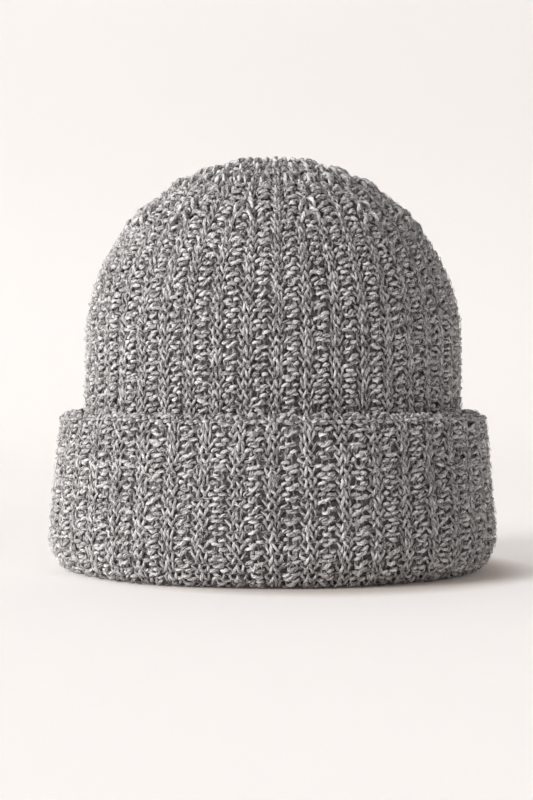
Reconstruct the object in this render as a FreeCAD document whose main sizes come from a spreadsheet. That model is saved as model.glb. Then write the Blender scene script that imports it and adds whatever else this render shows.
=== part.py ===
import FreeCAD, Part
import os
import re

import Sketcher

# A knit beanie with a turned-up cuff, in millimetres.  +Z is up, the front is towards -Y, and the origin is
# on the hat's axis at the level it stands on.  The hat is one rib-knitted panel: it starts at the cast-on
# edge, runs down the outside of the cuff, round the fold, up the inside of the cuff, up the wall and over the
# crown.  One seam at the back (+Y) closes it from the cast-on edge to the top, where a yarn gathers the
# last loops.  Each zone of the panel is a shell, open along the seam, and the seam fills that gap.

DIMENSIONS = {
    "hat_height": 207.5,            # from the fold's flat underside to the top of the crown
    "fabric": 5.0,                  # thickness of one layer of the rib knit
    "body_radius": 95.2,            # outside of the wall
    "dome_radius": 92.5,            # outside of the crown, as an arc in the upright section
    "crown_bend_angle": 20.0,       # where on the crown's arc its side becomes its shoulder, in degrees
    "first_decrease_angle": 39.0,   # where the first decrease round lies
    "last_decrease_angle": 64.0,    # where the last decrease round lies
    "cuff_height": 79.5,
    "cuff_top_radius": 108.6,       # outside of the cuff where the cast-on edge begins to roll in
    "cuff_low_radius": 113.4,       # outside of the cuff just above the fold
    "edge_roll": 7.5,               # outside radius of the cast-on edge, which rolls in towards the wall
    "fold_flat": 0.5,               # how far the fold is pressed flat by its own weight
    "inner_top": 71.0,              # where the layer hidden by the cuff becomes the wall
    "seam_angle": 1.8,              # the gap in the panel that the seam fills, in degrees
    "seam_play": 0.15,              # the seam's clearance in that gap, both sides together, in degrees
    "layer_gap": 0.3,               # clearance between the cuff and the rest of the hat
    "zone_gap": 0.02,               # clearance between two zones of one layer
    "gather_hole": 5.2,             # radius left open by the last loops of the crown
    "gather_radius": 3.3,           # centre line of the gathering yarn
    "yarn": 2.6,                    # diameter of the yarn
    "tail_gap": 0.4,                # clearance between a woven-in end and the fabric it lies on
    "crown_tail_sweep": 32.0,       # arc of the crown's woven-in end, in degrees
    "crown_tail_start": 8.0,        # its start, in degrees from the top
    "edge_tail_length": 42.0,       # the woven-in end of the cast-on yarn, inside the cuff
    "edge_tail_angle": 9.0,         # its place beside the seam, in degrees
    "edge_tail_bottom": 24.0,
}

FRONT_TURN = -90.0                  # turns a section drawn on +X round to the front, so its gap is at the back
BACK_TURN = 90.0                    # turns a section drawn on +X round to the back

# Sizes that follow from the driving dimensions, as expressions.
INNER_RADIUS = "(body_radius - fabric)"
SHOULDER = "(hat_height - dome_radius)"
DOME_X = "(body_radius - dome_radius)"
DOME_INNER = "(dome_radius - fabric)"
FOLD_OUTER = f"((cuff_low_radius - {INNER_RADIUS}) / 2)"
FOLD_INNER = f"({FOLD_OUTER} - fabric)"
FOLD_X = f"((cuff_low_radius + {INNER_RADIUS}) / 2)"
FOLD_Z = f"({FOLD_OUTER} - fold_flat)"
FLAT_HALF = f"sqrt({FOLD_OUTER} ^ 2 - {FOLD_Z} ^ 2)"
EDGE_ROUND = "(fabric / 2)"
EDGE_START = "(cuff_height - edge_roll)"
EDGE_TIP = "(cuff_top_radius - edge_roll)"


doc = FreeCAD.newDocument("knit_beanie")
sheet = doc.addObject("Spreadsheet::Sheet", "dims")
pieces = []


def fill_sheet():
    for row, (name, value) in enumerate(DIMENSIONS.items(), start=1):
        sheet.set(f"A{row}", name)
        sheet.set(f"B{row}", str(value))
        sheet.setAlias(f"B{row}", name)
    doc.recompute()


def with_sheet(expression):
    """The same expression with each dimension named through the sheet."""
    names = "|".join(DIMENSIONS)
    return re.sub(rf"\b({names})\b", r"dims.\1", expression)


def number(expression):
    """The expression's value now, for a sketch's first guess."""
    value = sheet.evalExpression(with_sheet(expression))
    return float(value)


def line_to(x, z):
    return {"end": (x, z)}


def arc_to(x, z, radius, centre):
    return {"end": (x, z), "radius": radius, "centre": centre}


# Which way a half circle bulges, and the axis along which its centre is fixed.
HALVES = {
    "above": (FreeCAD.Vector(0, 1, 0), 1),
    "below": (FreeCAD.Vector(0, -1, 0), 1),
    "inward": (FreeCAD.Vector(-1, 0, 0), 0),
}


def half_arc_to(x, z, radius, centre, half):
    return {"end": (x, z), "radius": radius, "centre": centre, "half": half}


def arc_shape(start, segment, end):
    """The segment's arc, and whether it runs clockwise from start to end."""
    centre = FreeCAD.Vector(number(segment["centre"][0]), number(segment["centre"][1]), 0)
    radius = number(segment["radius"])
    if "half" in segment:
        bulge, _ = HALVES[segment["half"]]
        clockwise = (start - centre).cross(bulge).z < 0
        return Part.Arc(start, centre + bulge * radius, end), clockwise
    middle = (start + end) / 2 - centre
    middle.normalize()
    clockwise = (start - centre).cross(end - centre).z < 0
    return Part.Arc(start, centre + middle * radius, end), clockwise


def add_outline(sketch, outline):
    """A closed outline whose corners and radii are bound to the sheet."""
    corners = []
    for segment in outline:
        corners.append(FreeCAD.Vector(number(segment["end"][0]), number(segment["end"][1]), 0))
    for index, segment in enumerate(outline):
        start = corners[index - 1]
        end = corners[index]
        if "radius" in segment:
            arc, flipped = arc_shape(start, segment, end)
            geometry = sketch.addGeometry(arc, False)
        else:
            geometry = sketch.addGeometry(Part.LineSegment(start, end), False)
            flipped = False
        segment["geometry"] = geometry
        segment["start_point"] = 2 if flipped else 1
        segment["end_point"] = 1 if flipped else 2
    for index, segment in enumerate(outline):
        previous = outline[index - 1]
        sketch.addConstraint(Sketcher.Constraint(
            "Coincident", previous["geometry"], previous["end_point"],
            segment["geometry"], segment["start_point"]))
    for corner, segment in zip(corners, outline):
        geometry = segment["geometry"]
        point = segment["end_point"]
        if "half" in segment:
            _, axis = HALVES[segment["half"]]
            kind = ("DistanceX", "DistanceY")[axis]
            bind(sketch, kind, (-1, 1, geometry, 3), number(segment["centre"][axis]), segment["centre"][axis])
        elif "radius" in segment:
            bind(sketch, "Radius", (geometry,), number(segment["radius"]), segment["radius"])
        bind(sketch, "DistanceX", (-1, 1, geometry, point), corner.x, segment["end"][0])
        if abs(corner.y) < 1e-9:
            sketch.addConstraint(Sketcher.Constraint("PointOnObject", geometry, point, -1))
        else:
            bind(sketch, "DistanceY", (-1, 1, geometry, point), corner.y, segment["end"][1])


def bind(sketch, kind, where, value, expression):
    index = sketch.addConstraint(Sketcher.Constraint(kind, *where, value))
    sketch.setExpression(f"Constraints[{index}]", with_sheet(expression))


def origin_plane(body, role):
    for feature in body.Origin.OriginFeatures:
        if feature.Role == role:
            return feature
    raise ValueError(f"{body.Label} has no {role}")


def revolved_piece(label, outline, sweep, turn):
    """A section in the XZ plane, revolved about Z evenly to both sides and then turned to its place."""
    body = doc.addObject("PartDesign::Body", label)
    body.Label = label
    sketch = body.newObject("Sketcher::SketchObject", f"{label}_section")
    sketch.AttachmentSupport = [(origin_plane(body, "XZ_Plane"), "")]
    sketch.MapMode = "FlatFace"
    add_outline(sketch, outline)
    revolution = body.newObject("PartDesign::Revolution", f"{label}_revolution")
    revolution.Profile = sketch
    revolution.ReferenceAxis = (sketch, ["V_Axis"])
    revolution.Midplane = True
    revolution.setExpression("Angle", with_sheet(sweep))
    body.Tip = revolution
    body.Placement = FreeCAD.Placement(
        FreeCAD.Vector(0, 0, 0), FreeCAD.Rotation(FreeCAD.Vector(0, 0, 1), turn))
    pieces.append(body)
    return body


PANEL_SWEEP = "360 - seam_angle"
SEAM_SWEEP = "seam_angle - seam_play"


def panel(label, outline):
    return revolved_piece(label, outline, PANEL_SWEEP, FRONT_TURN)


def seam(label, outline):
    return revolved_piece(label, outline, SEAM_SWEEP, BACK_TURN)


# Sections of the zones, each a closed outline in (radius, height).

def wall_outline(bottom, top):
    return [
        line_to("body_radius", bottom),
        line_to("body_radius", top),
        line_to(INNER_RADIUS, top),
        line_to(INNER_RADIUS, bottom),
    ]


def on_dome(radius, angle):
    return f"{DOME_X} + {radius} * cos({angle})", f"{SHOULDER} + {radius} * sin({angle})"


def dome_hole_edge(radius):
    """Where a dome surface of this radius meets the open ring under the gathering yarn."""
    return "gather_hole", f"{SHOULDER} + sqrt({radius} ^ 2 - (gather_hole - {DOME_X}) ^ 2)"


def dome_outline(outer_start, outer_end, inner_start, inner_end):
    """A band of the crown between two pairs of points, each pair one on the outside and one on the inside."""
    centre = (DOME_X, SHOULDER)
    return [
        line_to(*outer_start),
        arc_to(*outer_end, "dome_radius", centre),
        line_to(*inner_end),
        arc_to(*inner_start, DOME_INNER, centre),
    ]


def crown_zones(outer_start, inner_start, top_outer, top_inner):
    """The crown as four bands, divided where it bends and at its decrease rounds."""
    bands = [
        ("crown_side", "crown_bend_angle"),
        ("crown_shoulder", "first_decrease_angle"),
        ("crown_first_decrease", "last_decrease_angle"),
    ]
    for label, angle in bands:
        outer_end = on_dome("dome_radius", angle)
        inner_end = on_dome(DOME_INNER, angle)
        panel(label, dome_outline(outer_start, outer_end, inner_start, inner_end))
        outer_start = outer_end
        inner_start = inner_end
    panel("crown_last_decrease", dome_outline(outer_start, top_outer, inner_start, top_inner))


def fold_lower_outline():
    """The outside of the fold, from its inner leg under to its outer leg, with the flat it rests on."""
    centre = (FOLD_X, FOLD_Z)
    return [
        arc_to(f"{FOLD_X} - {FLAT_HALF}", "0", FOLD_OUTER, centre),
        line_to(f"{FOLD_X} + {FLAT_HALF}", "0"),
        arc_to("cuff_low_radius", FOLD_Z, FOLD_OUTER, centre),
    ]


def fold_inner_arc():
    """The inside of the fold, from its outer leg under to its inner leg."""
    return half_arc_to(f"{FOLD_X} - {FOLD_INNER}", FOLD_Z, FOLD_INNER, (FOLD_X, FOLD_Z), "below")


def fold_outline():
    return [
        line_to(INNER_RADIUS, FOLD_Z),
        *fold_lower_outline(),
        line_to(f"{FOLD_X} + {FOLD_INNER}", FOLD_Z),
        fold_inner_arc(),
    ]


def cuff_outline(bottom_z, top_z):
    return [
        line_to("cuff_low_radius - fabric", bottom_z),
        line_to("cuff_low_radius", bottom_z),
        line_to("cuff_top_radius", top_z),
        line_to("cuff_top_radius - fabric", top_z),
    ]


def edge_outline():
    """The top of the cuff rolled inwards: from its outside round the rounded cast-on tip to its inside."""
    centre = (EDGE_TIP, EDGE_START)
    tip_centre = (EDGE_TIP, f"(cuff_height - {EDGE_ROUND})")
    return [
        line_to("cuff_top_radius", EDGE_START),
        arc_to(EDGE_TIP, "cuff_height", "edge_roll", centre),
        half_arc_to(EDGE_TIP, "cuff_height - fabric", EDGE_ROUND, tip_centre, "inward"),
        arc_to("cuff_top_radius - fabric", EDGE_START, "(edge_roll - fabric)", centre),
    ]


def cuff_seam_outline():
    """The whole cuff in one section: inner leg, fold, outer layer and cast-on edge."""
    return [
        line_to(INNER_RADIUS, FOLD_Z),
        *fold_lower_outline(),
        *edge_outline(),
        line_to("cuff_low_radius - fabric", FOLD_Z),
        fold_inner_arc(),
    ]


def gathering_yarn():
    """The ring of yarn drawn through the last loops, at mid-thickness of the crown."""
    ring = doc.addObject("Part::Torus", "crown_gather_yarn")
    ring.Label = "crown_gather_yarn"
    ring.setExpression("Radius1", with_sheet("gather_radius"))
    ring.setExpression("Radius2", with_sheet("yarn / 2"))
    ring.setExpression("Placement.Base.z", with_sheet("hat_height - fabric / 2"))
    pieces.append(ring)


def crown_woven_end():
    """The end of the gathering yarn, laid down the inside of the crown towards the seam."""
    end = doc.addObject("Part::Torus", "crown_yarn_end")
    end.Label = "crown_yarn_end"
    end.setExpression("Radius1", with_sheet(f"{DOME_INNER} - tail_gap - yarn / 2"))
    end.setExpression("Radius2", with_sheet("yarn / 2"))
    end.setExpression("Angle3", with_sheet("crown_tail_sweep"))
    upright = FreeCAD.Rotation(FreeCAD.Vector(1, 0, 0), 90)
    from_top = FreeCAD.Rotation(
        FreeCAD.Vector(0, 1, 0), DIMENSIONS["crown_tail_start"] + DIMENSIONS["crown_tail_sweep"] - 90)
    to_back = FreeCAD.Rotation(FreeCAD.Vector(0, 0, 1), BACK_TURN - DIMENSIONS["edge_tail_angle"])
    end.Placement = FreeCAD.Placement(FreeCAD.Vector(0, 0, number(SHOULDER)), to_back * from_top * upright)
    end.setExpression("Placement.Base.z", with_sheet(SHOULDER))
    pieces.append(end)


def cuff_woven_end():
    """The end of the cast-on yarn, laid against the inside of the cuff's outer layer beside the seam."""
    end = doc.addObject("Part::Cylinder", "cuff_yarn_end")
    end.Label = "cuff_yarn_end"
    place = "(cuff_top_radius - fabric - tail_gap - yarn / 2)"
    end.setExpression("Radius", with_sheet("yarn / 2"))
    end.setExpression("Height", with_sheet("edge_tail_length"))
    end.setExpression("Placement.Base.x", with_sheet(f"{place} * sin(edge_tail_angle)"))
    end.setExpression("Placement.Base.y", with_sheet(f"{place} * cos(edge_tail_angle)"))
    end.setExpression("Placement.Base.z", with_sheet("edge_tail_bottom"))
    pieces.append(end)


def check_document():
    doc.recompute()
    for item in doc.Objects:
        if "Invalid" in item.State or "Error" in item.State:
            raise RuntimeError(f"{item.Label} failed: {item.State}")
    for piece in pieces:
        if piece.Shape.isNull() or not piece.Shape.isValid():
            raise RuntimeError(f"{piece.Label} has no valid shape")
        box = piece.Shape.optimalBoundingBox()
        print(f"{piece.Label}: {piece.Shape.Volume / 1000:.2f} cm3, "
              f"z {box.ZMin:.2f} to {box.ZMax:.2f}, radius {max(box.XMax, box.YMax):.2f}")


def write_parts():
    os.makedirs("parts", exist_ok=True)
    for piece in pieces:
        piece.Shape.exportStep(f"parts/{piece.Label}.step")


fill_sheet()

inner_bottom = f"{FOLD_Z} + layer_gap"
panel("inner_cuff_layer", wall_outline(inner_bottom, "inner_top"))
panel("body_wall", wall_outline("inner_top + zone_gap", SHOULDER))

spring_outer = ("body_radius", f"{SHOULDER} + zone_gap")
spring_inner = (INNER_RADIUS, f"{SHOULDER} + zone_gap")
top_outer = dome_hole_edge("dome_radius")
top_inner = dome_hole_edge(DOME_INNER)
crown_zones(spring_outer, spring_inner, top_outer, top_inner)

seam("body_seam", wall_outline(inner_bottom, SHOULDER))
seam("crown_seam", dome_outline(spring_outer, top_outer, spring_inner, top_inner))
gathering_yarn()
crown_woven_end()

panel("cuff_fold", fold_outline())
panel("cuff_wall", cuff_outline(f"{FOLD_Z} + zone_gap", f"{EDGE_START} - zone_gap"))
panel("cast_on_edge", edge_outline())
seam("cuff_seam", cuff_seam_outline())
cuff_woven_end()

check_document()
write_parts()
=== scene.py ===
import math

import bpy
import numpy as np
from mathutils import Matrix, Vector


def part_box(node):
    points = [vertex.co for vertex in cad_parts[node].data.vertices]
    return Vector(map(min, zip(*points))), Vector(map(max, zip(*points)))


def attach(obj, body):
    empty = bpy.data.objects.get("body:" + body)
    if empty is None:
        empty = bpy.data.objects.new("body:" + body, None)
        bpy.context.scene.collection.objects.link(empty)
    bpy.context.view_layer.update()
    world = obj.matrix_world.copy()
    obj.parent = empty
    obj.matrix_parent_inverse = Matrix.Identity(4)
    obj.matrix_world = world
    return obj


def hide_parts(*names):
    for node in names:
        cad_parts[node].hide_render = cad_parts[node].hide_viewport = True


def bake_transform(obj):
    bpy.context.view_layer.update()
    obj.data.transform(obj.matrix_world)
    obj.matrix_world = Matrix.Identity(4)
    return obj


# The looks of a rib-knit beanie.  Every course of the knitting is a real yarn, looped through the course
# below it, laid along the line that the knitted panel follows: from the cast-on edge down the outside of the
# cuff, round the fold, up behind the cuff, up the wall and over the crown.  Lengths are in metres.

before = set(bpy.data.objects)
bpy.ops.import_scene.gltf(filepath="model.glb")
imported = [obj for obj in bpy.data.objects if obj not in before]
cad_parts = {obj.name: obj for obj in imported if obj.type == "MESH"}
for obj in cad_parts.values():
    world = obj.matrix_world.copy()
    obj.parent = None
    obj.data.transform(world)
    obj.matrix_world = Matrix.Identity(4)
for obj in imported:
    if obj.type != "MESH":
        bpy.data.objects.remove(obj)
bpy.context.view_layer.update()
random = np.random.default_rng(11)      # the unevenness of the stitches
grain = np.random.default_rng(5)        # the roughness of the yarn

MM = 0.001

# ---------------------------------------------------------------- driving sizes

RIBS = 42                       # repeats of the rib round the hat, at four wales each
ROW = 5.0 * MM                  # from one course to the next
YARN = 1.80 * MM                # diameter of the yarn
FABRIC = 5.0 * MM               # thickness of one layer, as the CAD shells have it
MID_DEPTH = 2.2 * MM            # from the layer's outside to the line that the loops weave about

PURL_LEAN = 0.27                # how far a purl loop's legs lean, in wales
KNIT_LEAN = 0.37                # and a knit loop's
KNIT_SPREAD = 0.00              # how far a knit loop's legs are drawn apart, in wales
PURL_SPREAD = -0.04             # and a purl loop's
LOOP_TILT = 0.05                # how far the yarn's twist tips each head and sinker, in rows
KNIT_FLATNESS = 0.4             # how flat a knit loop's head is, from 0 for a round one
PURL_FLATNESS = 4.5             # and a purl loop's
KNIT_REACH = 0.57               # half the height of a knit loop, in rows
PURL_REACH = 0.76               # and of a purl loop
KNIT_DEPTH = 0.90 * MM          # how far a knit loop's legs stand out from the middle of the layer
PURL_DEPTH = 1.15 * MM          # and a purl loop's head and sinkers
RIB_RELIEF = 0.05 * MM          # how far knit ribs stand forward and purl bands back
RIB_ROUND = 0.55 * MM           # how far both swell in their middles, which leaves a groove between them

TIGHT_LEG = 0.78                # a knit leg's thickness, pulled tight, against the yarn's
YARN_ROUGHNESS = 0.22           # how far the fibres stand out of the yarn's surface, against its radius
HIDDEN_YARN = 0.55              # the thickness where the yarn runs behind
FULL_BUMP = 0.96                # a purl bump's thickness against the yarn's
RIB_SWELL = 0.12                # how much thicker the yarn is in the middle of a rib or band, as a share

FIBRE = 0.36 * MM               # diameter of a wisp of loose fibres
WISPS_PER_AREA = 30000          # how many wisps there are to a square metre

# How uneven the stitches are: each is the standard deviation of a random share or shift.
UNEVEN_LEAN = 0.3               # of the lean of a loop's legs, as a share of it
UNEVEN_PLACE = 0.055            # of where a loop's head stands, in wales
UNEVEN_REACH = 0.11             # of a loop's height, as a share of it
UNEVEN_TILT = 0.6               # of its tilt, as a share of it
UNEVEN_ROW = 0.15               # of how far its head is drawn up, in rows
UNEVEN_DEPTH = 0.12             # of how far it stands out, as a share of it

# How far the fabric as a whole drifts from its true place.
DRIFT_UP = 0.8 * MM             # along the panel
DRIFT_ROUND = math.radians(0.55)    # round the hat
DRIFT_OUT = 0.5 * MM            # through its thickness

KNIT_SHADE = 0.36               # how dark the darkest knit stitches are, from 0 for none
PURL_SHADE = 0.12               # and the darkest purl ones

SEAM_GAP = math.radians(0.8)    # half the opening in the panel at the back, closed by the seam yarn
SEAM_TURN = math.radians(1.1)   # width of the strip on each side of it that turns in
SEAM_TUCK = 2.2 * MM            # how far in the edge of that strip turns
SEAM_YARN = 1.7 * MM            # diameter of the seam yarn
LOOSE_YARN = 2.1 * MM           # and of the two woven-in ends
EDGE_CURL = 6.5 * MM            # radius of the cuff's top, which curls in to the wall
EDGE_TURN = math.radians(85)    # and how far round it curls
EDGE_SINK = 0.5 * MM            # from the CAD's rim down to the highest point of the layer's middle
FOLD_WIDTH = 12.5 * MM          # from the cuff's side in to where the fold rests
FOLD_HEIGHT = 17.0 * MM         # from there up to where the cuff's side is straight
REST_Z = 2.1 * MM               # height of the layer's middle where it rests
MATTED_DEPTH = 0.5 * MM         # how far behind the middle of the layer the matted fibres lie
MATTED_TUCK = 2.1 * MM          # how far in they turn beside the seam
MATTED_STEP = 2.0 * MM          # size of the faces of their surface
ROWS_PER_TURN = 7               # how many rows of those faces its marl takes to turn once
MIDDLE_PAINTED_SHADE = 0.85             # painted shade: how dark the sheet in the middle of the fabric is painted between the loops
PAINTED_SHADE_FROM = 1.2 * MM          # painted shade: how far in front of the middle the yarn begins to be painted darker
PAINTED_SHADE_RANGE = 3.0 * MM         # and over what depth it grows fully dark
UNDERSIDE_PAINTED_SHADE = 0.65                # painted shade: how dark the underside of the fold is painted, next to the floor
UNDERSIDE_PAINTED_SHADE_HEIGHT = 6.0 * MM     # and up to what height
RIB_SHIFT_WALL = math.radians(-1.4)     # where the rib nearest the front stands on the wall
RIB_SHIFT_CUFF = math.radians(-2.4)     # and on the cuff

FINE = (16, 8)                  # points along a stitch and sides of the yarn where it is seen close
PLAIN = (11, 6)                 # the same where the cuff hides it

wall_low, wall_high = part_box("body_wall")
edge_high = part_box("cast_on_edge")[1]
fold_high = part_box("cuff_fold")[1]
crown_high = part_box("crown_last_decrease")[1]

WALL_RADIUS = wall_high.x
SHOULDER = wall_high.z
DOME_RADIUS = crown_high.z - SHOULDER
CUFF_TOP_RADIUS = edge_high.x
CUFF_HEIGHT = edge_high.z
CUFF_LOW_RADIUS = fold_high.x
FOLD_Z = fold_high.z
DOME_MID = DOME_RADIUS - MID_DEPTH
TOP_HOLE = 3.4 * MM             # radius at which the knitting ends at the top of the crown


# ---------------------------------------------------------------- the line that the panel follows

def arc_points(centre, radius, start, end, count=60):
    """Points (radius, height) on an arc, from one angle to the other."""
    angle = np.linspace(start, end, count)
    return np.stack([centre[0] + radius * np.cos(angle), centre[1] + radius * np.sin(angle)], 1)


def quarter_ellipse(lowest, width, height, start, end, count=30):
    """A quarter of an ellipse that stands on its lowest point."""
    centre = (lowest[0], lowest[1] + height)
    angle = np.linspace(start, end, count)
    return np.stack([centre[0] + width * np.cos(angle), centre[1] + height * np.sin(angle)], 1)


def panel_line():
    """Closely spaced points of the panel's middle, from the cast-on edge to the top of the crown."""
    outer = CUFF_TOP_RADIUS - MID_DEPTH
    edge_z = CUFF_HEIGHT - EDGE_SINK - EDGE_CURL * math.sin(EDGE_TURN)
    curl = arc_points((outer - EDGE_CURL, edge_z), EDGE_CURL, EDGE_TURN, 0)

    # The fold is two quarter ellipses that meet where the hat rests on it.
    fold_outer = CUFF_LOW_RADIUS - MID_DEPTH
    fold_inner = WALL_RADIUS - MID_DEPTH
    rest_radius = fold_outer - FOLD_WIDTH
    lowest = (rest_radius, REST_Z)
    outer_half = quarter_ellipse(lowest, FOLD_WIDTH, FOLD_HEIGHT, 0, -math.pi / 2)
    inner_half = quarter_ellipse(lowest, rest_radius - fold_inner, FOLD_Z, -math.pi / 2, -math.pi)
    fold = np.concatenate([outer_half, inner_half[1:]])

    dome_centre = (WALL_RADIUS - DOME_RADIUS, SHOULDER)
    last = math.acos((TOP_HOLE - dome_centre[0]) / DOME_MID)
    dome = arc_points(dome_centre, DOME_MID, 0, last, 200)
    return np.concatenate([curl, fold, dome])


line = panel_line()
steps = np.linalg.norm(np.diff(line, axis=0), axis=1)
along = np.concatenate([[0], np.cumsum(steps)])
LENGTH = along[-1]
fine_along = np.linspace(0, LENGTH, 4000)
fine_line = np.stack([np.interp(fine_along, along, line[:, k]) for k in (0, 1)], 1)
slope = np.gradient(fine_line, fine_along, axis=0)
slope /= np.linalg.norm(slope, axis=1)[:, None]
fine_normal = np.stack([slope[:, 1], -slope[:, 0]], 1)


def radius_at(distance):
    """The radius of the panel's middle at a distance along it."""
    return np.interp(distance, fine_along, fine_line[:, 0])


def find_along(test):
    """Distance along the line of the first point that passes the test."""
    return fine_along[np.argmax(test)]


CUFF_END = find_along(fine_line[:, 1] < FOLD_Z)
FOLD_END = find_along((fine_along > CUFF_END + 4 * MM) & (fine_line[:, 1] > FOLD_Z))
EDGE_END = find_along(fine_line[:, 1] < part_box("cast_on_edge")[0].z)
SHOULDER_ALONG = find_along((fine_along > FOLD_END) & (fine_line[:, 1] > SHOULDER))
HIDDEN_END = find_along((fine_along > FOLD_END) & (fine_line[:, 1] > wall_low.z))


# ---------------------------------------------------------------- the stitch pattern

class Pattern:
    """One repeat: where each wale stands in it, from 0 to 1, and whether it is knit (1) or purl (-1).

    After a decrease round the wales begin at the entry places and settle to their own places in a few rows.
    """

    def __init__(self, places, signs, entry=None, repeats=RIBS, relief=1.0):
        self.places = np.array(places)
        self.signs = np.array(signs, float)
        self.entry = np.array(places if entry is None else entry)
        self.repeats = repeats
        self.relief = relief


RIB = Pattern([0.150, 0.340, 0.600, 0.890], [1, 1, -1, -1])

# In the first decrease round three ribs become two. One repeat here is two of the new ribs, and they begin
# where three of the old ones stood.
RIBS_LEFT = RIBS * 2 // 3
FEWER_RIBS = Pattern(
    [0.090, 0.165, 0.300, 0.450, 0.590, 0.665, 0.800, 0.950], [1, 1, -1, -1, 1, 1, -1, -1],
    entry=[0.050, 0.117, 0.203, 0.310, 0.450, 0.660, 0.810, 0.930], repeats=RIBS // 3, relief=1.35)
ONE_PURL = Pattern([0.18, 0.40, 0.79], [1, 1, -1], entry=[0.18, 0.33, 0.75], repeats=RIBS_LEFT, relief=1.2)
ONE_AND_ONE = Pattern([0.25, 0.75], [1, -1], entry=[0.29, 0.77], repeats=RIBS_LEFT, relief=0.8)
ALL_KNIT = Pattern([0.25], [1], entry=[0.45], repeats=RIBS_LEFT, relief=0.3)

# The angle up the crown's arc at which each pattern begins, and the strands that slant over where wales are
# worked together: where in the repeat each begins and ends, and how many rows above the round.
CROWN_PATTERNS = [
    (39.0, FEWER_RIBS, [(0.44, 0.56, 0.2), (0.73, 0.64, 0.7), (0.46, 0.58, 1.7), (0.71, 0.66, 2.1)]),
    (58.0, ONE_PURL, [(0.61, 0.74, 0.3), (0.89, 0.78, 0.8)]),
    (68.0, ONE_AND_ONE, [(0.16, 0.27, 0.3)]),
    (78.0, ALL_KNIT, [(0.30, 0.43, 0.3)]),
]
SETTLE = 1.6 * ROW


def crown_start(degrees):
    """Distance along the line of an angle up the crown's arc."""
    return SHOULDER_ALONG + math.radians(degrees) * DOME_MID


def pattern_at(distance):
    """The pattern there, and where its wales stand in the repeat."""
    found = RIB
    begins = 0
    for start, pattern, _ in CROWN_PATTERNS:
        if distance >= crown_start(start):
            found = pattern
            begins = crown_start(start)
    settled = 1 - math.exp(-(distance - begins) / SETTLE)
    return found, found.entry + (found.places - found.entry) * settled


def rib_shift(distance):
    """How far round the ribs stand.

    A wale that is knit on the wall's face is purl on the cuff's, so half a repeat is made up in the hidden
    layer for knit ribs to show below knit ribs.
    """
    half_repeat = math.pi / RIBS
    turned = np.clip((distance - FOLD_END) / (HIDDEN_END - FOLD_END), 0, 1)
    hidden = (1 - turned) * (RIB_SHIFT_CUFF + half_repeat) + turned * RIB_SHIFT_WALL
    return np.where(distance < FOLD_END, RIB_SHIFT_CUFF, hidden)


# ---------------------------------------------------------------- slow unevenness of hand-sized knitting

# Each wave has how many times it goes round the hat, its rate along the panel and its phase.
WAVES = [(random.integers(2, 9), random.uniform(15, 60), random.uniform(0, 6.3)) for _ in range(12)]


def drift(angle, distance, first):
    """A smooth wave from -1 to 1 over the fabric. first picks which waves it is made of."""
    total = 0
    for turns, rate, phase in WAVES[first:first + 4]:
        total = total + np.sin(turns * angle + rate * distance + phase)
    return total / 4


# ---------------------------------------------------------------- one course

def ease(x):
    """From 0 to 1 as x is, with a gentle start and end."""
    return (1 - np.cos(math.pi * np.clip(x, 0, 1))) / 2


def wale_angles(pattern, places):
    """Angles and signs of the wales all round, beginning and ending at the seam."""
    turn = np.arange(pattern.repeats)[:, None]
    angles = (turn + places[None, :]) / pattern.repeats * 2 * math.pi
    signs = np.tile(pattern.signs, pattern.repeats)
    return angles.ravel(), signs


def uneven(amount, count):
    """A random amount for each of count stitches."""
    return amount * random.standard_normal((count, 1))


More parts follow.
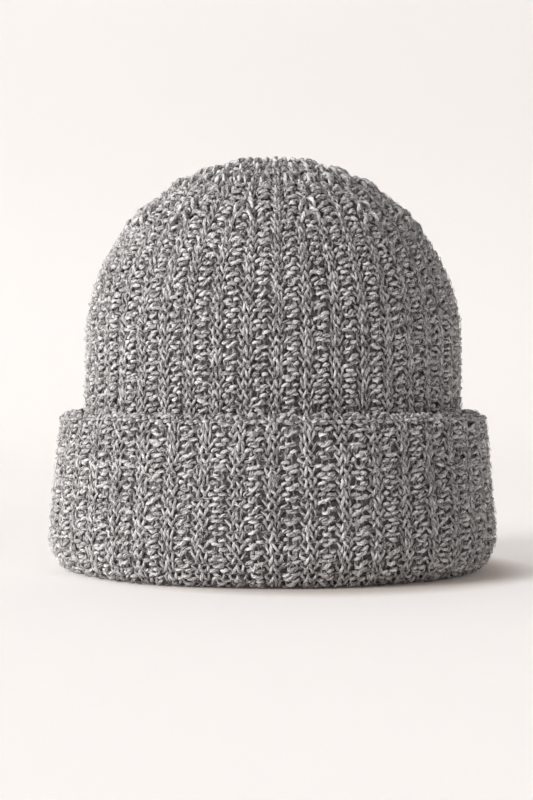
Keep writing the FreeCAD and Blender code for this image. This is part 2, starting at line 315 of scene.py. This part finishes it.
def course(distance, detail, heads=1):
    """One course: angle round, distance along the panel, depth, the yarn's thickness and how dark it is.

    Each wale has detail points, t from -0.5 to 0.5 across it. heads is 1 where the loops' heads point along
    the line and -1 where they point back.
    """
    pattern, places = pattern_at(distance)
    angles, signs = wale_angles(pattern, places)
    count = len(angles)
    t = ((np.arange(detail) + 0.5) / detail - 0.5)[None, :]
    right = np.roll(angles, -1) - angles
    right[-1] += 2 * math.pi
    left = np.roll(right, 1)
    sign_right = np.roll(signs, -1)
    sign_left = np.roll(signs, 1)
    own = signs[:, None]
    neighbour = np.where(t >= 0, sign_right[:, None], sign_left[:, None])
    same = (1 + own * neighbour) / 2

    # Round the hat: a loop is widest near its head and narrow at its feet.
    lean = np.where(own > 0, KNIT_LEAN, PURL_LEAN) * (1 + uneven(UNEVEN_LEAN, count))
    spread = np.where(own > 0, KNIT_SPREAD, PURL_SPREAD)
    across = t + lean * np.sin(4 * math.pi * t) + spread * np.sin(2 * math.pi * t)
    across = across + uneven(UNEVEN_PLACE, count) * np.cos(math.pi * t)
    angle = angles[:, None] + across * np.where(t >= 0, right[:, None], left[:, None])

    # Along the panel: from the sinker up to the flat head and down again.
    loop = np.cos(2 * math.pi * t)
    flatness = np.where(own > 0, KNIT_FLATNESS, PURL_FLATNESS)
    loop = loop * np.sqrt((1 + flatness) / (1 + flatness * loop ** 2))
    reach = np.where(own > 0, KNIT_REACH, PURL_REACH) * (1 + uneven(UNEVEN_REACH, count))
    tilt = LOOP_TILT * (1 + uneven(UNEVEN_TILT, count)) * np.sin(4 * math.pi * t)
    drawn_up = uneven(UNEVEN_ROW, count) * np.cos(math.pi * t)
    up = distance + heads * ROW * (loop * reach + tilt + drawn_up)

    # Through the panel: a knit loop has its legs in front, a purl loop its head and sinkers.
    outer = ease((np.abs(t) - 0.25) / 0.25)
    depth = np.where(np.abs(t) <= 0.25, -np.cos(4 * math.pi * t), 1 - outer * (1 + same))
    # swell is 1 between two wales that are alike, -1 between a knit and a purl one, and 0.4 at their middles.
    side = own + (neighbour - own) * ease(2 * np.abs(t)) / 2
    swell = 0.4 + (2 * same - 1.4) * ease(2 * np.abs(t))
    relief = pattern.relief * (RIB_RELIEF * side + RIB_ROUND * swell)
    loop_depth = np.where(own > 0, KNIT_DEPTH, PURL_DEPTH)
    push = own * loop_depth * depth * (1 + uneven(UNEVEN_DEPTH, count)) + relief

    # Knit legs are pulled tight, and purl bumps stand full.
    knit_side = (1 + side) / 2
    front = ease((1 + own * depth) / 2)
    full = TIGHT_LEG * knit_side + FULL_BUMP * (1 - knit_side)
    thickness = HIDDEN_YARN + (full - HIDDEN_YARN) * front
    thickness = thickness * (1 + RIB_SWELL * swell)

    # The marl makes one stitch darker than the next, the knit ones more so.
    shade = random.uniform(0, 1, (count, 1)) * np.where(own > 0, KNIT_SHADE, PURL_SHADE) + 0 * t
    return angle.ravel(), up.ravel(), push.ravel(), thickness.ravel(), shade.ravel()


def place(angle, up, push, face=1):
    """Points in space, and the fabric's normals, for angle round, distance along and depth.

    face is 1 where the line's normal points out of the hat, and -1 on the cuff, where it points in. The
    hat's weight presses its yarn flat on the floor, and no yarn goes below it.
    """
    up = up + DRIFT_UP * drift(angle, up, 0)
    turned = angle + rib_shift(up) + DRIFT_ROUND * drift(angle, up, 4)
    out = push + DRIFT_OUT * drift(angle, up, 8)
    up = np.clip(up, 0, LENGTH)
    radius = radius_at(up)
    z = np.interp(up, fine_along, fine_line[:, 1])
    normal_r = face * np.interp(up, fine_along, fine_normal[:, 0])
    normal_z = face * np.interp(up, fine_along, fine_normal[:, 1])
    reach = np.maximum(radius + normal_r * out, 0)
    above_floor = np.maximum(z + normal_z * out, YARN / 2)
    points = np.stack([reach * np.sin(turned), -reach * np.cos(turned), above_floor], 1)
    normals = np.stack([normal_r * np.sin(turned), -normal_r * np.cos(turned), normal_z], 1)
    return points, normals


# ---------------------------------------------------------------- yarn as a mesh

class YarnMesh:
    """Collects tubes of yarn and turns them into one object with the yarn's own coordinates as its UV map."""

    def __init__(self, name):
        self.name = name
        self.points = []
        self.faces = []
        self.uvs = []
        self.tone_and_painted_shade = []
        self.size = 0

    def add(self, points, normals, diameter=YARN, sides=8, depth=None):
        """One length of yarn. diameter is one number or one for each point.

        depth says how dark each point is painted, from 0 for the yarn's own colour to 1 for the darkest: a
        stitch's random tone plus painted shade.
        """
        count = len(points)
        tangent = np.gradient(points, axis=0)
        tangent /= np.linalg.norm(tangent, axis=1)[:, None]
        across = np.cross(tangent, normals)
        across /= np.linalg.norm(across, axis=1)[:, None] + 1e-12
        out = np.cross(across, tangent)
        lengths = np.concatenate([[0], np.cumsum(np.linalg.norm(np.diff(points, axis=0), axis=1))])
        begin = random.uniform(0, 0.5)
        swell = 1 + 0.06 * np.sin(lengths / MM * 0.9 + begin * 70) + 0.04 * np.sin(lengths / MM * 2.3)
        radius = diameter / 2 * swell
        turn = np.arange(sides) / sides * 2 * math.pi
        ring = np.cos(turn)[None, :, None] * out[:, None, :]
        ring = ring + np.sin(turn)[None, :, None] * across[:, None, :]
        rough = 1 + YARN_ROUGHNESS * grain.standard_normal((count, sides))
        vertices = points[:, None, :] + ring * (radius[:, None] * rough)[:, :, None]
        self.points.append(vertices.reshape(-1, 3))

        i = np.arange(count - 1)[:, None]
        j = np.arange(sides)[None, :]
        next_j = (j + 1) % sides
        quad = np.stack([i * sides + j, (i + 1) * sides + j, (i + 1) * sides + next_j, i * sides + next_j], 2)
        self.faces.append(quad.reshape(-1, 4) + self.size)
        u = lengths + begin
        v = np.arange(sides + 1) / sides
        uv = np.zeros((count - 1, sides, 4, 2))
        uv[:, :, (0, 3), 0] = u[:-1, None, None]
        uv[:, :, (1, 2), 0] = u[1:, None, None]
        uv[:, :, (0, 1), 1] = v[None, :-1, None]
        uv[:, :, (2, 3), 1] = v[None, 1:, None]
        self.uvs.append(uv.reshape(-1, 2))
        depth = np.zeros(count) if depth is None else depth
        corner_tone_and_painted_shade = np.zeros((count - 1, sides, 4, 2))
        corner_tone_and_painted_shade[:, :, (0, 3), 0] = depth[:-1, None, None]
        corner_tone_and_painted_shade[:, :, (1, 2), 0] = depth[1:, None, None]
        self.tone_and_painted_shade.append(corner_tone_and_painted_shade.reshape(-1, 2))
        self.size += count * sides

    def add_surface(self, points, dark):
        """A surface through a grid of points, painted dark all over by the amount dark, as painted shade."""
        rows, columns = points.shape[:2]
        self.points.append(points.reshape(-1, 3))
        i = np.arange(rows - 1)[:, None]
        j = np.arange(columns - 1)[None, :]
        corners = [i * columns + j, (i + 1) * columns + j, (i + 1) * columns + j + 1, i * columns + j + 1]
        self.faces.append(np.stack(corners, 2).reshape(-1, 4) + self.size)
        uv = np.zeros((rows - 1, columns - 1, 4, 2))
        uv[..., 0] = ((i + j)[:, :, None] + np.array([0, 0, 1, 1])) * MM
        uv[..., 1] = (i[:, :, None] + np.array([0, 1, 1, 0])) / ROWS_PER_TURN
        self.uvs.append(uv.reshape(-1, 2))
        self.tone_and_painted_shade.append(np.full((uv.size // 2, 2), dark))
        self.size += rows * columns

    def build(self, material):
        points = np.concatenate(self.points).astype(np.float32)
        faces = np.concatenate(self.faces).astype(np.int32)
        uvs = np.concatenate(self.uvs).astype(np.float32)
        mesh = bpy.data.meshes.new(self.name)
        mesh.vertices.add(len(points))
        mesh.vertices.foreach_set("co", points.ravel())
        mesh.loops.add(faces.size)
        mesh.loops.foreach_set("vertex_index", faces.ravel())
        mesh.polygons.add(len(faces))
        mesh.polygons.foreach_set("loop_start", np.arange(0, faces.size, 4, dtype=np.int32))
        mesh.polygons.foreach_set("loop_total", np.full(len(faces), 4, dtype=np.int32))
        mesh.polygons.foreach_set("use_smooth", np.ones(len(faces), dtype=bool))
        layer = mesh.uv_layers.new(name="yarn")
        layer.data.foreach_set("uv", uvs.ravel())
        tone_and_painted_shade = np.concatenate(self.tone_and_painted_shade).astype(np.float32)
        # The depth UV map carries how dark each point is painted: random tone and painted shade.
        layer = mesh.uv_layers.new(name="depth")
        layer.data.foreach_set("uv", tone_and_painted_shade.ravel())
        mesh.update()
        mesh.validate()
        mesh.materials.append(material)
        made = bpy.data.objects.new(self.name, mesh)
        bpy.context.scene.collection.objects.link(made)
        return made


# ---------------------------------------------------------------- materials

LIGHT_PLY = (0.745, 0.725, 0.715)
MIDDLE_PLY = (0.325, 0.308, 0.303)
DARK_PLY = (0.052, 0.049, 0.048)
WISP = (0.60, 0.58, 0.57)
DARK_TONE_AND_PAINTED_SHADE = (0.030, 0.028, 0.028)  # the near-black the yarn is mixed toward: for each stitch's random darker tone, and as painted shade in the hollows and under the fold
DARK_TO_MIDDLE = (1.14, 1.27)   # the values of the marl's noise between which one fibre's colour passes into
MIDDLE_TO_LIGHT = (1.31, 1.45)  # the next


def math_node(tree, operation, first, second=None, third=None):
    node = tree.nodes.new("ShaderNodeMath")
    node.operation = operation
    for socket, value in zip(node.inputs, (first, second, third)):
        if value is None:
            continue
        if isinstance(value, (int, float)):
            socket.default_value = value
        else:
            tree.links.new(value, socket)
    return node.outputs[0]


def mix_colours(tree, factor, first, second):
    node = tree.nodes.new("ShaderNodeMix")
    node.data_type = "RGBA"
    tree.links.new(factor, node.inputs["Factor"])
    for name, value in (("A", first), ("B", second)):
        socket = [s for s in node.inputs if s.name == name and s.type == "RGBA"][0]
        if isinstance(value, tuple):
            socket.default_value = (*value, 1)
        else:
            tree.links.new(value, socket)
    return [s for s in node.outputs if s.type == "RGBA"][0]


def smooth_range(tree, value, low, high):
    node = tree.nodes.new("ShaderNodeMapRange")
    node.interpolation_type = "SMOOTHSTEP"
    node.inputs["From Min"].default_value = low
    node.inputs["From Max"].default_value = high
    tree.links.new(value, node.inputs["Value"])
    return node.outputs["Result"]


def noise(tree, vector, scale, detail=2.0, roughness=0.5):
    node = tree.nodes.new("ShaderNodeTexNoise")
    node.inputs["Scale"].default_value = scale
    node.inputs["Detail"].default_value = detail
    node.inputs["Roughness"].default_value = roughness
    tree.links.new(vector, node.inputs["Vector"])
    return node.outputs["Fac"]


def combine(tree, x, y, z):
    node = tree.nodes.new("ShaderNodeCombineXYZ")
    for socket, value in zip(node.inputs, (x, y, z)):
        if isinstance(value, (int, float)):
            socket.default_value = value
        else:
            tree.links.new(value, socket)
    return node.outputs[0]


def marled_yarn(name, light, middle, dark, ply_turn=9.0 * MM):
    """Two marled plies twisted together, each turning once round the yarn in ply_turn, with fine fibres.

    The yarn is mixed toward a near-black by its depth UV map: each stitch's random darker tone, and painted
    shade in the hollows of the knitting.
    """
    material = bpy.data.materials.new(name)
    material.use_nodes = True
    tree = material.node_tree
    shader = tree.nodes["Principled BSDF"]

    coordinates = tree.nodes.new("ShaderNodeUVMap")
    coordinates.uv_map = "yarn"
    split = tree.nodes.new("ShaderNodeSeparateXYZ")
    tree.links.new(coordinates.outputs[0], split.inputs[0])
    length = split.outputs[0]
    round_yarn = split.outputs[1]

    phase = math_node(tree, "ADD", math_node(tree, "DIVIDE", length, ply_turn), round_yarn)
    angle = math_node(tree, "MULTIPLY", phase, 2 * math.pi)
    sine = math_node(tree, "SINE", angle)
    cosine = math_node(tree, "COSINE", angle)
    groove = math_node(tree, "ABSOLUTE", cosine)
    ply_shape = math_node(tree, "POWER", groove, 0.5)

    def along_yarn(per_metre, scale, detail, roughness=0.5):
        """Noise that follows the twist and changes per_metre times in a metre of yarn."""
        place = combine(tree, sine, cosine, math_node(tree, "MULTIPLY", length, per_metre))
        return noise(tree, place, scale, detail, roughness)

    plies = along_yarn(per_metre=170, scale=1.3, detail=0.0)
    fibres = along_yarn(per_metre=500, scale=3.0, detail=3.0, roughness=0.85)
    tweed = along_yarn(per_metre=200, scale=0.7, detail=0.0)

    blend = math_node(tree, "MULTIPLY_ADD", plies, 0.6, math_node(tree, "MULTIPLY", fibres, 1.5))
    blend = math_node(tree, "MULTIPLY_ADD", tweed, 0.4, blend)
    blend = math_node(tree, "MULTIPLY_ADD", ply_shape, 0.16, blend)
    to_middle = smooth_range(tree, blend, *DARK_TO_MIDDLE)
    to_light = smooth_range(tree, blend, *MIDDLE_TO_LIGHT)
    colour = mix_colours(tree, to_middle, dark, middle)
    colour = mix_colours(tree, to_light, colour, light)

    # Painted shade: the depth UV map holds each stitch's random tone plus the painted shade of hollows and
    # the fold's underside.
    tone_and_painted_shade_map = tree.nodes.new("ShaderNodeUVMap")
    tone_and_painted_shade_map.uv_map = "depth"
    split_tone_and_painted_shade = tree.nodes.new("ShaderNodeSeparateXYZ")
    tree.links.new(tone_and_painted_shade_map.outputs[0], split_tone_and_painted_shade.inputs[0])
    colour = mix_colours(tree, split_tone_and_painted_shade.outputs[0], colour, DARK_TONE_AND_PAINTED_SHADE)
    tree.links.new(colour, shader.inputs["Base Color"])

    height = math_node(tree, "MULTIPLY_ADD", fibres, 0.5, ply_shape)
    bump = tree.nodes.new("ShaderNodeBump")
    bump.inputs["Strength"].default_value = 0.9
    bump.inputs["Distance"].default_value = 0.5 * MM
    tree.links.new(height, bump.inputs["Height"])
    tree.links.new(bump.outputs[0], shader.inputs["Normal"])

    shader.inputs["Roughness"].default_value = 0.92
    shader.inputs["Specular IOR Level"].default_value = 0.18
    shader.inputs["Sheen Weight"].default_value = 0.10
    shader.inputs["Sheen Roughness"].default_value = 0.45
    return material


knit_yarn = marled_yarn("marled_yarn", LIGHT_PLY, MIDDLE_PLY, DARK_PLY)
sewn_yarn = marled_yarn("sewn_yarn", LIGHT_PLY, MIDDLE_PLY, DARK_PLY, ply_turn=6.0 * MM)
loose_fibre = marled_yarn("loose_fibre", LIGHT_PLY, WISP, MIDDLE_PLY)


# ---------------------------------------------------------------- the knitted panel

def courses_between(start, end):
    """Distances along the panel of the courses in a zone. Courses are a row apart all along it."""
    first = 0.45 * ROW
    number = np.arange(int(LENGTH / ROW) + 1)
    places = first + number * ROW
    return places[(places >= start) & (places < end)]


def beside_seam(angle):
    """Where the panel is, outside the seam's gap, and how far it turns in there, from 0 to 1."""
    from_seam = np.minimum(angle, 2 * math.pi - angle)
    return from_seam > SEAM_GAP, 1 - ease((from_seam - SEAM_GAP) / SEAM_TURN)


def decrease_strands(mesh, start, pattern, strands):
    """The slanting strands where wales are worked together: each arches over about two rows."""
    s = np.linspace(0, 1, 12)
    arch = np.sin(math.pi * s)
    push = MM * (-0.8 + 3.9 * arch ** 0.7)
    for repeat in range(pattern.repeats):
        for first, last, rows in strands:
            in_repeat = first + (last - first) * ease(s) + random.uniform(-0.01, 0.01)
            angle = (repeat + in_repeat) / pattern.repeats * 2 * math.pi + math.pi
            up = start + ROW * (rows - 0.9 + 1.8 * s + random.uniform(-0.15, 0.15))
            points, normals = place(angle, up, push)
            mesh.add(points, normals, YARN * (0.85 + 0.3 * arch), 8)


def knit_zone(name, start, end, detail, face, painted_hollow_shade, rows_per_piece=4):
    """The courses of one zone as meshes of a few rows each."""
    made = []
    rows = courses_between(start, end)
    for piece_number, first in enumerate(range(0, len(rows), rows_per_piece)):
        mesh = YarnMesh(f"{name}_rows_{piece_number + 1}")
        piece_rows = rows[first:first + rows_per_piece]
        for distance in piece_rows:
            angle, up, push, thickness, shade = course(distance, detail[0], face)
            kept, tucked = beside_seam(angle)
            push = (push - SEAM_TUCK * tucked)[kept]
            points, normals = place(angle[kept] + math.pi, up[kept], push, face)
            # Painted shade: the yarn is painted darker the further behind the front it lies, by the zone's
            # share, on top of each stitch's random tone.
            depth = shade[kept] + painted_hollow_shade * np.clip((PAINTED_SHADE_FROM - push) / PAINTED_SHADE_RANGE, 0, 1)
            # Painted shade: near the floor the underside of the fold is painted dark.
            depth = np.maximum(depth, UNDERSIDE_PAINTED_SHADE * (1 - ease(points[:, 2] / UNDERSIDE_PAINTED_SHADE_HEIGHT)))
            mesh.add(points, normals, YARN * thickness[kept], detail[1], depth)
        for degrees, pattern, strands in CROWN_PATTERNS:
            if piece_rows[0] <= crown_start(degrees) < piece_rows[-1] + ROW:
                decrease_strands(mesh, crown_start(degrees), pattern, strands)
        made.append(mesh)
    return made


# The name of each zone, where it begins and ends along the line, its detail, its face, how dark its hollows
# are painted, as painted shade, and the body it rides on. The hidden layer and the wall ride on neither body.
zones = [
    ("cast_on_edge", 0, EDGE_END, FINE, -1, 0.45, "cuff"),
    ("cuff_wall", EDGE_END, CUFF_END, FINE, -1, 0.25, "cuff"),
    ("cuff_fold", CUFF_END, FOLD_END, FINE, -1, 0.25, "cuff"),
    ("inner_cuff_layer", FOLD_END, HIDDEN_END, PLAIN, 1, 0.7, None),
    ("body_wall", HIDDEN_END, SHOULDER_ALONG, FINE, 1, 0.6, None),
    ("crown_side", SHOULDER_ALONG, crown_start(20), FINE, 1, 0.6, "hat_body"),
    ("crown_shoulder", crown_start(20), crown_start(39), FINE, 1, 0.6, "hat_body"),
    ("crown_first_decrease", crown_start(39), crown_start(64), FINE, 1, 0.65, "hat_body"),
    ("crown_last_decrease", crown_start(64), LENGTH, FINE, 1, 0.65, "hat_body"),
]


def finish_piece(mesh, node, body, material):
    """Builds a piece that stands for one CAD node, hides that node, and rides on a body, or for None keeps
    its place on neither.
    """
    piece = mesh.build(material)
    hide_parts(node)
    if body:
        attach(piece, body)
    else:
        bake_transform(piece)


for name, start, end, detail, face, painted_hollow_shade, body in zones:
    for mesh in knit_zone(name, start, end, detail, face, painted_hollow_shade):
        finish_piece(mesh, name, body, knit_yarn)


# ---------------------------------------------------------------- middle, fuzz, edge, seam and loose yarns

def middle_sheet_painted_shade(node, start, end, face, body):
    """A sheet of matted fibres in the middle of the fabric, which closes the gaps between the loops to the
    light, painted dark as painted shade of those gaps.
    """
    up = np.linspace(start, end, int((end - start) / MATTED_STEP) + 2)[:, None]
    angle = np.linspace(0, 2 * math.pi, RIBS * 8 + 1)[None, :]
    _, tucked = beside_seam(angle)
    up, angle = np.broadcast_arrays(up, angle + math.pi)
    push = np.broadcast_to(-MATTED_DEPTH - MATTED_TUCK * tucked, up.shape)
    points, _ = place(angle.ravel(), up.ravel(), push.ravel(), face)
    mesh = YarnMesh(f"{node}_middle_sheet_painted_shade")
    mesh.add_surface(points.reshape(*up.shape, 3), MIDDLE_PAINTED_SHADE)
    finish_piece(mesh, node, body, knit_yarn)


def fuzz(node, start, end, face, body):
    """Short loose fibres that stand off the yarn, spread evenly over a zone of the panel."""
    mesh = YarnMesh(f"{node}_fuzz")
    girth = 2 * math.pi * float(radius_at((start + end) / 2))
    count = int((end - start) * girth * WISPS_PER_AREA)
    s = np.linspace(0, 1, 5)
    for _ in range(count):
        where = random.uniform(start, end)
        # Most wisps lie roughly along the panel, and each curls one way or the other.
        heading = math.pi / 2 + random.normal(0, 0.8) + random.uniform(-1.5, 1.5) * s
        length = random.uniform(2.0, 5.0) * MM
        radius = max(float(radius_at(where)), 10 * MM)
        angle = random.uniform(SEAM_GAP, 2 * math.pi - SEAM_GAP) + math.pi
        angle = angle + np.cumsum(np.cos(heading)) / len(s) * length / radius
        up = where + np.cumsum(np.sin(heading)) / len(s) * length
        push = MM * (random.uniform(1.9, 2.5) + random.uniform(0.2, 1.1) * np.sin(math.pi * s))
        points, normals = place(angle, up, push, face)
        mesh.add(points, normals, FIBRE * (1 - 0.6 * s), 3)
    finish_piece(mesh, node, body, loose_fibre)


def cast_on_chain():
    """The cast-on yarn along the rim: it floats over the purl bands and ducks behind the knit ribs."""
    turns = np.linspace(0, RIBS, RIBS * 40)
    angle = turns / RIBS * (2 * math.pi - 2 * SEAM_GAP) + SEAM_GAP + math.pi
    wave = np.cos(2 * math.pi * (turns - 0.75))
    dashes = np.cos(8 * math.pi * turns + 0.8 * drift(angle, 0, 2))
    up = EDGE_CURL * 0.85 + 0.2 * MM * wave + 0.35 * MM * dashes
    push = MM * (1.5 + 0.5 * wave + 0.7 * dashes)
    points, normals = place(angle, up, push, -1)
    mesh = YarnMesh("cast_on_edge_yarn")
    # The rim yarn is painted darker as painted shade, the more so where it ducks behind the knit ribs.
    mesh.add(points, normals, YARN * (0.85 + 0.15 * dashes), 8, 0.35 - 0.15 * dashes)
    finish_piece(mesh, "cast_on_edge", "cuff", knit_yarn)


def seam_yarn(node, start, end, face, body):
    """Yarn laced from one edge of the panel to the other, one bar to a course."""
    bars = (end - start) / ROW
    s = np.linspace(0, bars, int(bars * 12))
    wave = np.cos(2 * math.pi * s)
    up = start + ROW * (s + 0.12 * np.sin(4 * math.pi * s))
    radius = np.maximum(radius_at(up), 8 * MM)
    angle = math.pi + wave * 1.5 * MM / radius
    push = MM * (-0.2 - 1.5 * wave ** 2)
    points, normals = place(angle, up, push, face)
    mesh = YarnMesh(f"{node}_yarn")
    mesh.add(points, normals, SEAM_YARN, 8)
    finish_piece(mesh, node, body, sewn_yarn)


def gather_ring():
    """The yarn drawn through the last loops: a ring in seven waves, whose last part lies under its first."""
    low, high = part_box("crown_gather_yarn")
    diameter = high.z - low.z
    ring = (high.x - low.x - diameter) / 2
    turns = np.linspace(0, 1.08, 90)
    angle = 2 * math.pi * turns
    reach = ring * (1 + 0.10 * np.cos(7 * angle)) + 0.3 * MM * turns
    z = (low.z + high.z) / 2 + 0.5 * MM * np.sin(7 * angle) - 0.5 * MM * turns
    points = np.stack([reach * np.cos(angle), reach * np.sin(angle), z], 1)
    normals = np.tile([0.0, 0.0, 1.0], (len(points), 1))
    mesh = YarnMesh("crown_gather_yarn_ring")
    mesh.add(points, normals, diameter * 0.8, 10)
    finish_piece(mesh, "crown_gather_yarn", "hat_body", sewn_yarn)


def woven_end(node, top, bottom, bow, body):
    """A loose end running from top to bottom in small waves, bowed outwards by bow in its middle."""
    s = np.linspace(0, 1, 80)[:, None]
    outwards = Vector((top.x + bottom.x, top.y + bottom.y, 0)).normalized()
    sideways = np.array([-outwards.y, outwards.x, 0.0])
    outwards = np.array(outwards)
    line_points = np.array(top) * (1 - s) + np.array(bottom) * s
    line_points = line_points + outwards * bow * 4 * s * (1 - s)
    line_points = line_points + sideways * 0.5 * MM * np.sin(2 * math.pi * 6 * s)
    normals = np.tile(outwards, (len(s), 1))
    cut_end = ease((s[:, 0] - 0.93) / 0.07)
    mesh = YarnMesh(f"{node}_strand")
    mesh.add(line_points, normals, LOOSE_YARN * (1 - 0.6 * cut_end), 8)
    finish_piece(mesh, node, body, sewn_yarn)


def woven_ends():
    """The end of the gathering yarn, along the inside of the crown, and of the cast-on yarn, in the cuff."""
    low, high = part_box("crown_yarn_end")
    half = LOOSE_YARN / 2
    top = Vector((low.x + half, low.y + half, high.z - half))
    bottom = Vector((high.x - half, high.y - half, low.z + half))
    arc_rise = (top - bottom).length ** 2 / (8 * (DOME_RADIUS - FABRIC))
    woven_end("crown_yarn_end", top, bottom, 0.75 * arc_rise, "hat_body")
    low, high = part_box("cuff_yarn_end")
    middle_x = (low.x + high.x) / 2
    middle_y = (low.y + high.y) / 2
    woven_end("cuff_yarn_end", Vector((middle_x, middle_y, high.z)), Vector((middle_x, middle_y, low.z)),
              0.0, "cuff")


for name, start, end, _, face, _, body in zones:
    middle_sheet_painted_shade(name, start, end, face, body)
    if name != "inner_cuff_layer":
        fuzz(name, start, end, face, body)
cast_on_chain()
seam_yarn("cuff_seam", 1 * MM, FOLD_END, -1, "cuff")
seam_yarn("body_seam", FOLD_END, SHOULDER_ALONG, 1, None)
seam_yarn("crown_seam", SHOULDER_ALONG, LENGTH - 2 * MM, 1, "hat_body")
gather_ring()
woven_ends()


# ---------------------------------------------------------------- floor, light and camera

PALE = (0.72, 0.694, 0.678)
# Painted warm tint of the shadow near the hat.
PALE_IN_PAINTED_SHADOW = (0.74, 0.655, 0.60)
# Painted light: the floor and wall glow, though they are no lamps.
FLOOR_GLOW = 0.375
WALL_GLOW = 0.075
WALL_CLIMB = (-0.25, 0.7)       # the heights between which one glow passes into the other
PAINTED_SHADOW_REACH = (0.09, 0.122)     # the distances from the hat's middle between which its painted shadow ends
GLOW_IN_PAINTED_SHADOW = 0.08               # what is left of the glow in that painted shadow

LIT_POINT = (0, 0, 0.1)         # the middle of the hat, which the lights face
VIEW_X = -3.3 * MM              # the camera stands a little to the left
VIEW_Z = 97.8 * MM
VIEW_DISTANCE = 1.04
AIM_Z = 85.9 * MM               # the height that it looks at


def pale_surface():
    """A matt surface that glows a little, as painted light: less up the wall, and least near the hat, as a
    painted shadow, where its colour is painted warmer.
    """
    material = bpy.data.materials.new("pale_floor")
    material.use_nodes = True
    tree = material.node_tree
    shader = tree.nodes["Principled BSDF"]
    shader.inputs["Roughness"].default_value = 0.9
    shader.inputs["Emission Color"].default_value = (1.0, 0.965, 0.945, 1)
    position = tree.nodes.new("ShaderNodeNewGeometry")
    split = tree.nodes.new("ShaderNodeSeparateXYZ")
    tree.links.new(position.outputs["Position"], split.inputs[0])
    climb = smooth_range(tree, split.outputs[2], *WALL_CLIMB)
    painted_shadow_shift = tree.nodes.new("ShaderNodeMapping")
    painted_shadow_shift.inputs["Location"].default_value = (-0.02, 0, 0)
    painted_shadow_shift.inputs["Scale"].default_value = (1, 0.84, 1)
    tree.links.new(position.outputs["Position"], painted_shadow_shift.inputs["Vector"])
    from_hat = tree.nodes.new("ShaderNodeVectorMath")
    from_hat.operation = "LENGTH"
    tree.links.new(painted_shadow_shift.outputs["Vector"], from_hat.inputs[0])
    # Painted shadow: near the hat, off centre away from the key light, the glow is cut back and the colour
    # warmed.
    outside_painted_shadow = smooth_range(tree, from_hat.outputs["Value"], *PAINTED_SHADOW_REACH)
    tree.links.new(mix_colours(tree, outside_painted_shadow, PALE_IN_PAINTED_SHADOW, PALE), shader.inputs["Base Color"])
    glow = math_node(tree, "MULTIPLY_ADD", climb, WALL_GLOW - FLOOR_GLOW, FLOOR_GLOW)
    share = math_node(tree, "MULTIPLY_ADD", outside_painted_shadow, 1 - GLOW_IN_PAINTED_SHADOW, GLOW_IN_PAINTED_SHADOW)
    tree.links.new(math_node(tree, "MULTIPLY", glow, share), shader.inputs["Emission Strength"])
    return material


def floor_and_backdrop():
    """A pale round floor that curves up into a pale wall, which stands close behind the hat."""
    middle_y = -4.0
    floor_radius = 5.2
    bend = 0.8
    height = 4.0
    floor_rings = (0.0, 2.6, 4.2)
    section = [(reach, 0.0) for reach in floor_rings]
    for bend_angle in np.linspace(-math.pi / 2, 0, 24):
        section.append((floor_radius + bend * math.cos(bend_angle), bend + bend * math.sin(bend_angle)))
    section.append((floor_radius + bend, height))
    sides = 96
    vertices = []
    for reach, z in section:
        for side in range(sides):
            turn = 2 * math.pi * side / sides
            vertices.append((reach * math.sin(turn), middle_y + reach * math.cos(turn), z))
    faces = []
    for ring in range(len(section) - 1):
        for side in range(sides):
            corner = ring * sides + side
            beside = ring * sides + (side + 1) % sides
            faces.append((corner, corner + sides, beside + sides, beside))
    mesh = bpy.data.meshes.new("floor")
    mesh.from_pydata(vertices, [], faces)
    mesh.validate()
    for polygon in mesh.polygons:
        polygon.use_smooth = True
    mesh.materials.append(pale_surface())
    made = bpy.data.objects.new("floor", mesh)
    bpy.context.scene.collection.objects.link(made)


def area_light(name, location, size, power):
    data = bpy.data.lights.new(name, "AREA")
    data.shape = "DISK"
    data.size = size
    data.energy = power
    made = bpy.data.objects.new(name, data)
    bpy.context.scene.collection.objects.link(made)
    made.location = location
    made.rotation_euler = (Vector(LIT_POINT) - Vector(location)).to_track_quat("-Z", "Y").to_euler()


def camera():
    data = bpy.data.cameras.new("camera")
    data.lens = 91.8
    data.sensor_width = 36
    made = bpy.data.objects.new("camera", data)
    bpy.context.scene.collection.objects.link(made)
    made.location = (VIEW_X, -VIEW_DISTANCE, VIEW_Z)
    aim = Vector((VIEW_X, 0, AIM_Z))
    made.rotation_euler = (aim - made.location).to_track_quat("-Z", "Y").to_euler()
    bpy.context.scene.camera = made


floor_and_backdrop()
area_light("key", (-4.0, -2.6, 1.6), 2.8, 305)
area_light("fill", (1.5, -3.2, 1.5), 1.2, 18)
world = bpy.data.worlds.new("studio")
world.use_nodes = True
world.node_tree.nodes["Background"].inputs["Color"].default_value = (1.0, 0.99, 0.985, 1)
world.node_tree.nodes["Background"].inputs["Strength"].default_value = 0.10
bpy.context.scene.world = world
bpy.context.scene.view_settings.view_transform = "Standard"
camera()
